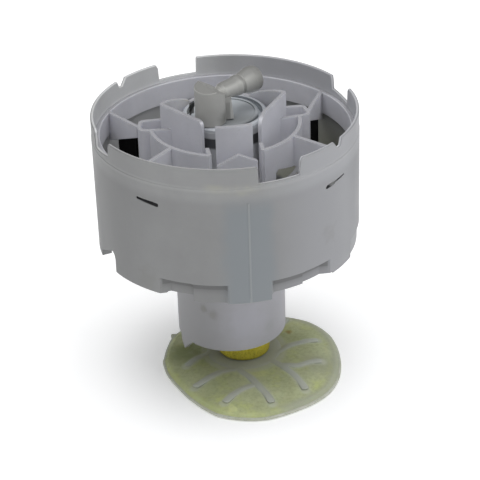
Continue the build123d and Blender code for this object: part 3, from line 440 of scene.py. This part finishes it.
def cap_gap_painted_shadow(g):
    """Painted shadow, near black, in the corner beside the outlet's foot."""
    m = g.math("MULTIPLY", g.step(g.x, CORNER[0], CORNER[0] + 0.0004, 0, 1), g.step(g.x, CORNER[1], CORNER[1] - 0.0004, 0, 1))
    return g.math("MULTIPLY", m, g.math("MULTIPLY", g.step(g.y, CORNER[2], CORNER[2] + 0.001, 0, 0.95), g.step(g.y, CORNER[3], CORNER[3] - 0.001, 0, 1)))


def cap_front_painted_shade(g):
    """Painted shade: the cap's front half is painted darker."""
    return g.math("MULTIPLY", g.step(g.y, 0.001, -0.009, 0, 0.9), g.step(g.radius(), 0.0152, 0.0147, 0, 1))


CORNER = (-0.0158, -0.0132, -0.002, 0.016)
cap = moulded("cap_plastic", (0.41, 0.435, 0.46), rough=(0.5, 0.65), marks=[((0.19, 0.20, 0.205), cap_front_painted_shade), ((0.50, 0.525, 0.56), cap_ring), ((0.012, 0.012, 0.012), cap_gap_painted_shadow)])
frame_plastic = moulded("frame_plastic", (0.545, 0.567, 0.485), rough=(0.4, 0.55), sss=0.05)
black_plastic = moulded("black_plastic", (0.018, 0.018, 0.018), rough=(0.4, 0.6))
flap = moulded("flap_plastic", (0.0028, 0.0028, 0.003), rough=(0.75, 0.9), shine=0.08)
rubber = moulded("black_rubber", (0.02, 0.02, 0.021), rough=(0.65, 0.8), grain=0.00006)
carbon = moulded("carbon", (0.03, 0.03, 0.033), rough=(0.5, 0.65), grain=0.00005)
ferrite = moulded("ferrite", (0.045, 0.043, 0.045), rough=(0.55, 0.7), grain=0.00006)


def can_dark(g, col):
    """The crimp top painted like the cap, the corner's painted shadow, a near-black band under the crimp, more even
    zinc below it.
    """
    top = g.math("MULTIPLY", cap_gap_painted_shadow(g), g.step(g.z, 0.1262, 0.1268, 0, 1))
    col = g.mix(g.step(g.z, 0.1266, 0.1276, 0, 0.9), col, (0.40, 0.42, 0.45))
    col = g.mix(g.step(g.z, 0.119, 0.116, 0, 0.5), col, (0.62, 0.63, 0.65))
    groove = g.math("MULTIPLY", g.step(g.z, 0.1245, 0.1235, 0, 1), g.step(g.z, 0.1185, 0.120, 0, 1))
    col = g.mix(top, col, (0.012, 0.012, 0.012))
    return g.mix(g.math("MULTIPLY", groove, 0.9), col, (0.03, 0.031, 0.034))


can = metal("zinc_steel", (0.62, 0.63, 0.65), (0.45, 0.6), (1, 1, 0.08), 220, 0.82, extra=can_dark, metallic=0.35)
ground = metal("ground_steel", (0.56, 0.57, 0.58), (0.16, 0.28), (1, 1, 14), 260, 0.85)
spring = metal("spring_steel", (0.48, 0.47, 0.44), (0.25, 0.4), (1, 1, 3), 500, 0.75)
lams = metal("laminations", (0.30, 0.29, 0.28), (0.4, 0.55), (0.02, 0.02, 1), 1900, 0.55, 0.00008)
bronze = metal("bronze_bush", (0.42, 0.26, 0.12), (0.45, 0.6), (1, 1, 1), 900, 0.7)


def wound(g, col):
    return g.mix(g.line(g.noise(1400, 1, 0.3, stretch=(1, 1, 0.03)), 0.4, 0.6, 0, 0.7), col, (0.16, 0.05, 0.02))


copper = metal("copper_wire", (0.56, 0.25, 0.11), (0.28, 0.42), (1, 1, 0.05), 1100, 0.6, 0.0001, extra=wound)


def brass_blotches_and_painted_shadow(g, col):
    col = g.mix(g.line(g.noise(1300, 3, 0.6), 0.5, 0.75, 0, 0.5), col, (0.30, 0.20, 0.015))
    # Painted shadow round the foot of the brass ring, where it sits on the hub flange.
    return g.mix(g.step(g.z, 0.0068, 0.0054, 0, 0.55), col, (0.16, 0.12, 0.05))


brass = metal("brass", (1.0, 0.88, 0.14), (0.42, 0.58), (1, 1, 0.2), 650, 0.72, 0.00005, extra=brass_blotches_and_painted_shadow)


def dist_to(g, cx, cy):
    n = g.new("ShaderNodeVectorMath", operation="DISTANCE")
    flat = g.new("ShaderNodeCombineXYZ")
    g.put(flat.inputs[0], g.x)
    g.put(flat.inputs[1], g.y)
    g.put(n.inputs[0], flat.outputs[0])
    n.inputs[1].default_value = (cx, cy, 0)
    return n.outputs["Value"]


def filter_cloth():
    """Fine woven nylon, stained yellow-green by fuel."""
    g = Net("filter_cloth")
    g.co
    weave = []
    for axis in (g.x, g.y):
        weave.append(g.math("ABSOLUTE", g.math("SINE", g.math("MULTIPLY", axis, math.pi / 0.00055))))
    w = g.math("MAXIMUM", weave[0], weave[1])
    col = g.mix(g.line(g.noise(34, 4, 0.6), 0.32, 0.68, 0, 1), (0.484, 0.522, 0.285), (0.636, 0.669, 0.408))
    col = g.mix(g.line(g.noise(75, 4, 0.6, at=(3, 1, 0)), 0.5, 0.72, 0, 0.75), col, (0.646, 0.703, 0.247))
    col = g.mix(g.line(g.noise(620, 3, 0.6), 0.45, 0.75, 0, 0.45), col, (0.323, 0.351, 0.190))
    col = g.mix(g.math("MULTIPLY", g.math("SUBTRACT", 1.0, w), 0.55), col, (0.285, 0.314, 0.171))
    # The spot at (-24, 0) is painted shadow, darker where the neck shades the cloth.
    for p, r, tint, k in (((26.9, 14.1, 4), 2.2, (0.304, 0.171, 0.038), 0.8), ((8.5, -20, 4), 9, (0.760, 0.779, 0.380), 0.5),
                          ((0, -47.2, 3), 3.2, (0.80, 0.84, 0.42), 0.5), ((-24, 0, 4), 13, (0.29, 0.325, 0.165), 0.8),
                          ((-12, -6, 4), 10, (0.304, 0.332, 0.190), 0.45), ((40, -14, 4), 14, (0.40, 0.42, 0.29), 0.75),
                          ((22, 20, 4), 10, (0.627, 0.646, 0.266), 0.5)):
        col = g.mix(g.math("MULTIPLY", g.spot(p, r, 0.1, 2 if r > 3 else 0.6), k), col, tint)
    near = g.new("ShaderNodeAttribute", attribute_name="near_rib").outputs["Fac"]
    edge = g.new("ShaderNodeAttribute", attribute_name="to_edge").outputs["Fac"]
    right_rim = g.math("MULTIPLY", g.step(g.x, 0.012, 0.030, 0, 1), g.step(edge, 6.5, 2.5, 0, 0.7))
    left_rim = g.math("MULTIPLY", g.step(g.x, 0.022, 0.004, 0, 1), g.math("MULTIPLY", g.step(edge, 5.5, 2.5, 0, 1), g.math("MULTIPLY", g.step(g.y, 0.002, -0.016, 0, 1), g.line(g.noise(90, 3), 0.35, 0.65, 0.1, 0.42))))
    col = g.mix(left_rim, col, (0.58, 0.64, 0.22))
    col = g.mix(right_rim, col, (0.42, 0.435, 0.355))
    col = g.mix(g.math("MULTIPLY", near, 0.6), col, (0.60, 0.625, 0.53))
    g.bump(w, 0.55, 0.00012)
    return g.finish(col, g.line(g.noise(200, 2), 0.3, 0.7, 0.6, 0.8), Specular_IOR_Level=0.3, Subsurface_Weight=0.05, Subsurface_Scale=0.001)


cloth = filter_cloth()


def weld():
    g = Net("welded_rim")
    g.co
    col = g.mix(g.line(g.noise(120, 3), 0.35, 0.65, 0, 1), (0.50, 0.52, 0.40), (0.60, 0.61, 0.53))
    col = g.mix(g.line(g.noise(700, 2), 0.55, 0.75, 0, 0.5), col, (0.22, 0.24, 0.15))
    g.bump(g.noise(420, 3), 0.4, 0.00008)
    return g.finish(col, g.line(g.noise(150, 2), 0.3, 0.7, 0.4, 0.6), Specular_IOR_Level=0.4)


rim_mat = weld()

MATS = {
    "reservoir_bucket": pot, "star_carrier": star, "surge_flap_left": flap, "surge_flap_right": flap,
    "neck_sleeve": neck, "neck_gasket": rubber, "lower_isolator": rubber, "pump_can": can, "top_cap": cap,
    "outlet_elbow": grey, "outlet_seal": rubber, "check_valve_poppet": black_plastic, "check_valve_spring": spring,
    "relief_valve_ball": ground, "relief_valve_spring": spring, "relief_valve_plug": brass,
    "brush_positive": carbon, "brush_negative": carbon, "brush_spring_positive": spring, "brush_spring_negative": spring,
    "terminal_positive": brass, "terminal_negative": brass, "rotor_shaft": ground, "armature_core": lams,
    "armature_windings": copper, "commutator": copper, "magnet_left": ferrite, "magnet_right": ferrite,
    "magnet_clip_front": spring, "magnet_clip_rear": spring, "upper_bush": bronze, "lower_bush": bronze,
    "pump_casing": cap, "impeller": black_plastic, "inlet_cover": cap, "inlet_ring": brass,
    "strainer_frame": frame_plastic, "strainer_mesh": cloth,
}
for name, ob in NODES.items():
    ob.data.materials.clear()
    ob.data.materials.append(MATS[name])


# ------------------------------------------------------------------ mesh helpers
def add_mesh(name, verts, faces, material, smooth=True):
    me = bpy.data.meshes.new(name)
    me.from_pydata([tuple(v) for v in verts], [], faces)
    bm = bmesh.new()
    bm.from_mesh(me)
    bmesh.ops.remove_doubles(bm, verts=bm.verts, dist=1e-7)
    bmesh.ops.recalc_face_normals(bm, faces=bm.faces)
    bm.to_mesh(me)
    bm.free()
    me.polygons.foreach_set("use_smooth", [smooth] * len(me.polygons))
    me.materials.append(material)
    ob = bpy.data.objects.new(name, me)
    SCENE.collection.objects.link(ob)
    return ob


def catmull(pts, per, closed):
    """Points on a smooth curve through pts."""
    n = len(pts)
    out = []
    segs = n if closed else n - 1
    for i in range(segs):
        if closed:
            p = [pts[(i + k) % n] for k in (-1, 0, 1, 2)]
        else:
            p = [pts[max(0, i - 1)], pts[i], pts[i + 1], pts[min(n - 1, i + 2)]]
        for j in range(per):
            t = j / per
            out.append(tuple(
                0.5 * (2 * p[1][c] + (p[2][c] - p[0][c]) * t + (2 * p[0][c] - 5 * p[1][c] + 4 * p[2][c] - p[3][c]) * t * t
                       + (3 * p[1][c] - p[0][c] - 3 * p[2][c] + p[3][c]) * t ** 3) for c in (0, 1)))
    if not closed:
        out.append(tuple(pts[-1]))
    return out


def smooth01(v, a, b):
    t = min(1.0, max(0.0, (v - a) / (b - a)))
    return t * t * (3 - 2 * t)


# ------------------------------------------------------------------ strainer
lo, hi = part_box("inlet_ring")
HX, HY = (lo[0] + hi[0]) / 2 / MM, (lo[1] + hi[1]) / 2 / MM
OUTLINE = [
    (-32.9, -0.5), (-33.3, -5.5), (-31.0, -15.8), (-26.0, -26.1), (-20.1, -36.1), (-11.9, -45.7), (-5.3, -50.4),
    (6.5, -53.3), (18.4, -51.8), (33.8, -43.6), (43.0, -34.9), (47.8, -25.7), (50.0, -15.9), (50.4, -5.7),
    (49.3, 4.7), (45.9, 15.5), (37.8, 25.9), (26.5, 31.5), (12.0, 34.2), (-6.0, 33.4), (-19.5, 28.0), (-28.4, 18.0), (-31.6, 8.3),
]
RIBS = [
    ([(-5.0, -0.2), (-8.8, -1.4), (-12.1, -2.9), (-17.8, -7.7), (-22.0, -12.5)], 2.6),
    ([(2.5, -15.6), (0.4, -17.0), (-5.6, -18.6), (-11.2, -23.2), (-18.2, -30.1)], 3.0),
    ([(1.5, -15.2), (3.4, -18.7), (7.3, -23.7), (10.8, -30.3), (14.3, -37.2), (17.0, -44.6)], 3.0),
    ([(10.7, -30.1), (6.2, -31.8), (0.1, -36.9), (-4.5, -43.0)], 3.0),
    ([(15.0, -10.9), (19.5, -12.1), (26.6, -21.2), (30.2, -28.2), (32.6, -34.9)], 3.0),
    ([(22.0, -14.6), (29.4, -15.5), (35.6, -13.1), (41.2, -12.3)], 2.8),
    ([(20.0, -4.8), (26.8, 1.6), (34.1, 4.5), (40.3, 5.9)], 2.8),
    ([(16.5, 12.4), (20.5, 17.1), (24.5, 22.3), (26.5, 25.9)], 2.6),
    ([(0.5, 16.6), (-1.5, 21.2), (-2.0, 27.4)], 2.6),
    ([(-9.0, 9.3), (-14.0, 12.9), (-19.5, 15.5)], 2.6),
]
edge_pts = catmull(OUTLINE, 12, True)
NE = len(edge_pts)
rib_lines = [(catmull(p, 10, False), w) for p, w in RIBS]


def near_rib(x, y):
    best = 99.0
    for pts, _ in rib_lines:
        for (ax, ay), (bx, by) in zip(pts[:-1:2], pts[2::2]):
            dx, dy = bx - ax, by - ay
            t = max(0.0, min(1.0, ((x - ax) * dx + (y - ay) * dy) / (dx * dx + dy * dy + 1e-9)))
            best = min(best, math.hypot(x - ax - t * dx, y - ay - t * dy))
    return best


def ripple(x, y):
    return (0.10 * math.sin(x * 0.55 + 1.3 * math.sin(y * 0.21)) + 0.08 * math.sin(y * 0.7 - x * 0.31 + 2.0)
            + 0.05 * math.sin(x * 1.35 + y * 1.1))


def top_z(x, y, d):
    """Height of the upper cloth, mm; d is the distance to the outer edge."""
    up = 0.5 * smooth01(d, 0.7, 3.0) + 0.5 * smooth01(d, 1.5, 15)
    q = near_rib(x, y)
    hub = math.hypot(x - HX, y - HY)
    taut = min(1.0, max(0.0, (q - 1.0) / 7.0)) * smooth01(hub, 17.5, 23)
    sag = -0.55 * taut * smooth01(d, 4, 12)
    return 1.35 + up * 2.85 + sag + ripple(x, y) * smooth01(d, 1.5, 6) * smooth01(hub, 17, 21) * 0.9


def burr(i):
    """A small torn lug stands out of the rim at the left."""
    x, y = edge_pts[i]
    d = math.hypot(x + 28.6, y - 17.6)
    return 1.5 * math.exp(-(d / 1.3) ** 2)


def sheet_mesh(name, inner, rings, height, thick):
    verts, faces = [], []
    for side in (0, 1):
        for k in range(rings + 1):
            f = k / rings
            for i in range(NE):
                ex, ey = edge_pts[i]
                dx, dy = ex - HX, ey - HY
                L = math.hypot(dx, dy)
                rad = inner + (L - 0.8 - inner) * (1 - (1 - f) ** 1.15)
                x, y = HX + dx / L * rad, HY + dy / L * rad
                z = height(x, y, L - rad) + (thick if side else 0.0)
                verts.append((x * MM, y * MM, z * MM))
    R = (rings + 1) * NE
    for k in range(rings):
        for i in range(NE):
            a, b = k * NE + i, k * NE + (i + 1) % NE
            faces.append((a, b, b + NE, a + NE))
            faces.append((R + a + NE, R + b + NE, R + b, R + a))
    for i in range(NE):
        j = (i + 1) % NE
        faces.append((i, R + i, R + j, j))
        k = rings * NE
        faces.append((k + j, R + k + j, R + k + i, k + i))
    ob = add_mesh(name, verts, faces, cloth)
    near, edge = [], []
    for v in ob.data.vertices:
        x, y = v.co.x / MM, v.co.y / MM
        q = min(near_rib(x, y), max(0.0, math.hypot(x - HX, y - HY) - 18.0))
        near.append(1.0 - smooth01(q, 1.3, 3.2))
        a = math.atan2(y - HY, x - HX)
        edge.append(reach(a) - math.hypot(x - HX, y - HY))
    for key, vals in (("near_rib", near), ("to_edge", edge)):
        at = ob.data.attributes.new(key, "FLOAT", "POINT")
        at.data.foreach_set("value", vals)
    return ob


EDGE_TABLE = sorted((math.atan2(y - HY, x - HX), math.hypot(x - HX, y - HY)) for x, y in edge_pts)


def reach(a):
    """Distance from the hub to the outline in the direction a."""
    n = len(EDGE_TABLE)
    for i in range(n):
        if EDGE_TABLE[i][0] >= a:
            a0, r0 = EDGE_TABLE[i - 1]
            a1, r1 = EDGE_TABLE[i]
            if i == 0:
                return r1
            t = (a - a0) / (a1 - a0 + 1e-9)
            return r0 + (r1 - r0) * t
    return EDGE_TABLE[-1][1]


top = sheet_mesh("strainer_cloth_top", 12.0, 46, lambda x, y, d: top_z(x, y, d) - 0.28, 0.28)
under = sheet_mesh("strainer_cloth_under", 1.0, 30, lambda x, y, d: 0.05 + 0.55 * (1 - smooth01(d, 1.2, 6)) + 0.04 * (1 + math.sin(x * 0.8) * math.sin(y * 0.9)), 0.28)


def strip_round(name, pts, profile, material):
    """Loft a closed profile [(out, z)] round a closed outline."""
    verts, faces = [], []
    n, m = len(pts), len(profile)
    for i in range(n):
        ax, ay = pts[i - 1]
        bx, by = pts[(i + 1) % n]
        tx, ty = bx - ax, by - ay
        L = math.hypot(tx, ty)
        nx, ny = -ty / L, tx / L
        x, y = pts[i]
        if (x - HX) * nx + (y - HY) * ny < 0:
            nx, ny = -nx, -ny
        for o, z in profile:
            b = burr(i) if o > -1.0 else 0.0
            verts.append(((x + nx * (o + b)) * MM, (y + ny * (o + b)) * MM, (z + b * 0.5 * (z > 0.6)) * MM))
    for i in range(n):
        j = (i + 1) % n
        for k in range(m):
            q = (k + 1) % m
            faces.append((i * m + k, j * m + k, j * m + q, i * m + q))
    return add_mesh(name, verts, faces, material)


rim = strip_round("strainer_weld_rim", edge_pts,
                  [(-2.0, 0.30), (-0.6, 0.22), (-0.12, 0.42), (0.0, 0.85), (-0.15, 1.25), (-0.7, 1.48), (-1.5, 1.42), (-2.1, 1.2)], rim_mat)


def strainer_ribs():
    verts, faces = [], []
    arc = [(-0.60, -0.30), (-0.50, 0.06), (-0.32, 0.22), (0.0, 0.29), (0.32, 0.22), (0.50, 0.06), (0.60, -0.30)]
    m = len(arc)
    for pts, w in rib_lines:
        base = len(verts)
        n = len(pts)
        for i in range(n):
            ax, ay = pts[max(0, i - 1)]
            bx, by = pts[min(n - 1, i + 1)]
            L = math.hypot(bx - ax, by - ay)
            nx, ny = -(by - ay) / L, (bx - ax) / L
            x, y = pts[i]
            end = min(i, n - 1 - i)
            k = (0.55, 0.86, 1.0)[min(end, 2)]
            ground_z = top_z(x, y, 20)
            for o, z in arc:
                verts.append(((x + nx * o * w * k) * MM, (y + ny * o * w * k) * MM, (ground_z + z * (0.7 + 0.3 * k)) * MM))
        for i in range(n - 1):
            for k in range(m - 1):
                a = base + i * m + k
                faces.append((a, a + 1, a + m + 1, a + m))
            a = base + i * m
            faces.append((a, a + m, a + 2 * m - 1, a + m - 1))
        faces.append(tuple(base + k for k in range(m)))
        faces.append(tuple(base + (n - 1) * m + k for k in reversed(range(m))))
    prof = [(8.3, 3.95), (8.3, 12.2), (8.5, 12.4), (9.9, 12.4), (10.2, 12.1), (10.2, 5.3), (10.5, 4.85), (11.2, 4.68), (15.0, 4.55),
            (16.6, 4.42), (17.4, 4.25), (18.0, 3.95)]
    N, m = 96, len(prof)
    base = len(verts)
    for i in range(N):
        a = 2 * math.pi * i / N
        for r, z in prof:
            verts.append(((HX + r * math.cos(a)) * MM, (HY + r * math.sin(a)) * MM, z * MM))
    for i in range(N):
        j = (i + 1) % N
        for k in range(m):
            q = (k + 1) % m
            faces.append((base + i * m + k, base + j * m + k, base + j * m + q, base + i * m + q))
    return add_mesh("strainer_ribs", verts, faces, frame_plastic)


ribs = strainer_ribs()
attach(top, "housing")
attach(under, "housing")
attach(rim, "housing")
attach(ribs, "housing")
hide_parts("strainer_mesh")
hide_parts("strainer_mesh")
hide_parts("strainer_mesh")
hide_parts("strainer_frame")


# ------------------------------------------------------------------ brass knurl
def knurl():
    """Fine vertical teeth round the brass ring's collar."""
    lo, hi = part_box("inlet_ring")
    R = (hi[0] - lo[0]) / 2 / MM
    z0, z1 = 6.2, 17.0
    N = 132
    verts, faces = [], []
    levels = [z0, z0 + 0.35, z1 - 0.35, z1]
    for li, z in enumerate(levels):
        k = 1.0 if 0 < li < 3 else 0.25
        for i in range(N * 2):
            a = math.pi * i / N
            r = R - 0.12 + (0.16 * k if i % 2 == 0 else 0.0)
            verts.append(((HX + r * math.cos(a)) * MM, (HY + r * math.sin(a)) * MM, z * MM))
    M2 = N * 2
    for li in range(3):
        for i in range(M2):
            j = (i + 1) % M2
            faces.append((li * M2 + i, li * M2 + j, (li + 1) * M2 + j, (li + 1) * M2 + i))
    # inner wall closes the band
    base = len(verts)
    for z in (z0, z1):
        for i in range(M2):
            a = math.pi * i / N
            verts.append(((HX + (R - 0.5) * math.cos(a)) * MM, (HY + (R - 0.5) * math.sin(a)) * MM, z * MM))
    for i in range(M2):
        j = (i + 1) % M2
        faces.append((base + i, base + M2 + i, base + M2 + j, base + j))
        faces.append((i, base + i, base + j, j))
        faces.append((3 * M2 + i, 3 * M2 + j, base + M2 + j, base + M2 + i))
    return add_mesh("inlet_ring_knurl", verts, faces, brass, smooth=False)


kn = knurl()
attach(kn, "housing")

# ------------------------------------------------------------------ coil springs
# each coil spring is replaced by a copy of its mesh, fixed to the housing
for node, joint, travel in (("check_valve_spring", "check_valve_lift", 0.0020), ("relief_valve_spring", "relief_valve_lift", 0.0015),
                            ("brush_spring_positive", "brush_positive_slide", 0.0015), ("brush_spring_negative", "brush_negative_slide", 0.0015)):
    lo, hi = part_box(node)
    ob = bpy.data.objects.new(node + "_coil", NODES[node].data.copy())
    ob.matrix_world = NODES[node].matrix_world.copy()
    bpy.context.scene.collection.objects.link(ob)
    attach(ob, "housing")
    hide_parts(node)
    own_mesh(ob)


# ------------------------------------------------------------------ floor and light
def floor():
    s = 3.0
    ob = add_mesh("floor", [(-s, -s, -0.0002), (s, -s, -0.0002), (s, s, -0.0002), (-s, s, -0.0002)], [(0, 1, 2, 3)], None or floor_mat(), smooth=False)


def floor_mat():
    g = Net("floor_white")
    g.co
    col = g.mix(g.line(g.noise(6, 2), 0.3, 0.7, 0, 1), (0.955, 0.955, 0.955), (0.97, 0.97, 0.97))
    return g.finish(col, 0.8, Specular_IOR_Level=0.1, Emission_Color=(1, 1, 1, 1), Emission_Strength=0.21)


floor()


def lamp(name, loc, aim, size, watts, colour=(1, 1, 1)):
    li = bpy.data.lights.new(name, "AREA")
    li.shape = "DISK"
    li.size, li.energy, li.color = size, watts, colour
    ob = bpy.data.objects.new(name, li)
    SCENE.collection.objects.link(ob)
    ob.location = loc
    ob.rotation_euler = (Vector(aim) - Vector(loc)).to_track_quat("-Z", "Y").to_euler()


lamp("overhead", (0.02, -0.05, 1.5), (0.0, -0.03, 0.05), 2.0, 26.0)
lamp("right_soft", (1.1, -0.45, 0.55), (0, 0, 0.08), 0.8, 2.2, (0.95, 0.97, 1.0))
lamp("left_soft", (-1.1, -0.5, 0.8), (0, 0, 0.08), 0.8, 0.5)
world = bpy.data.worlds.new("studio")
world.use_nodes = True
bg = world.node_tree.nodes["Background"]
bg.inputs[0].default_value = (0.95, 0.97, 1.0, 1)
bg.inputs[1].default_value = 0.22
SCENE.world = world
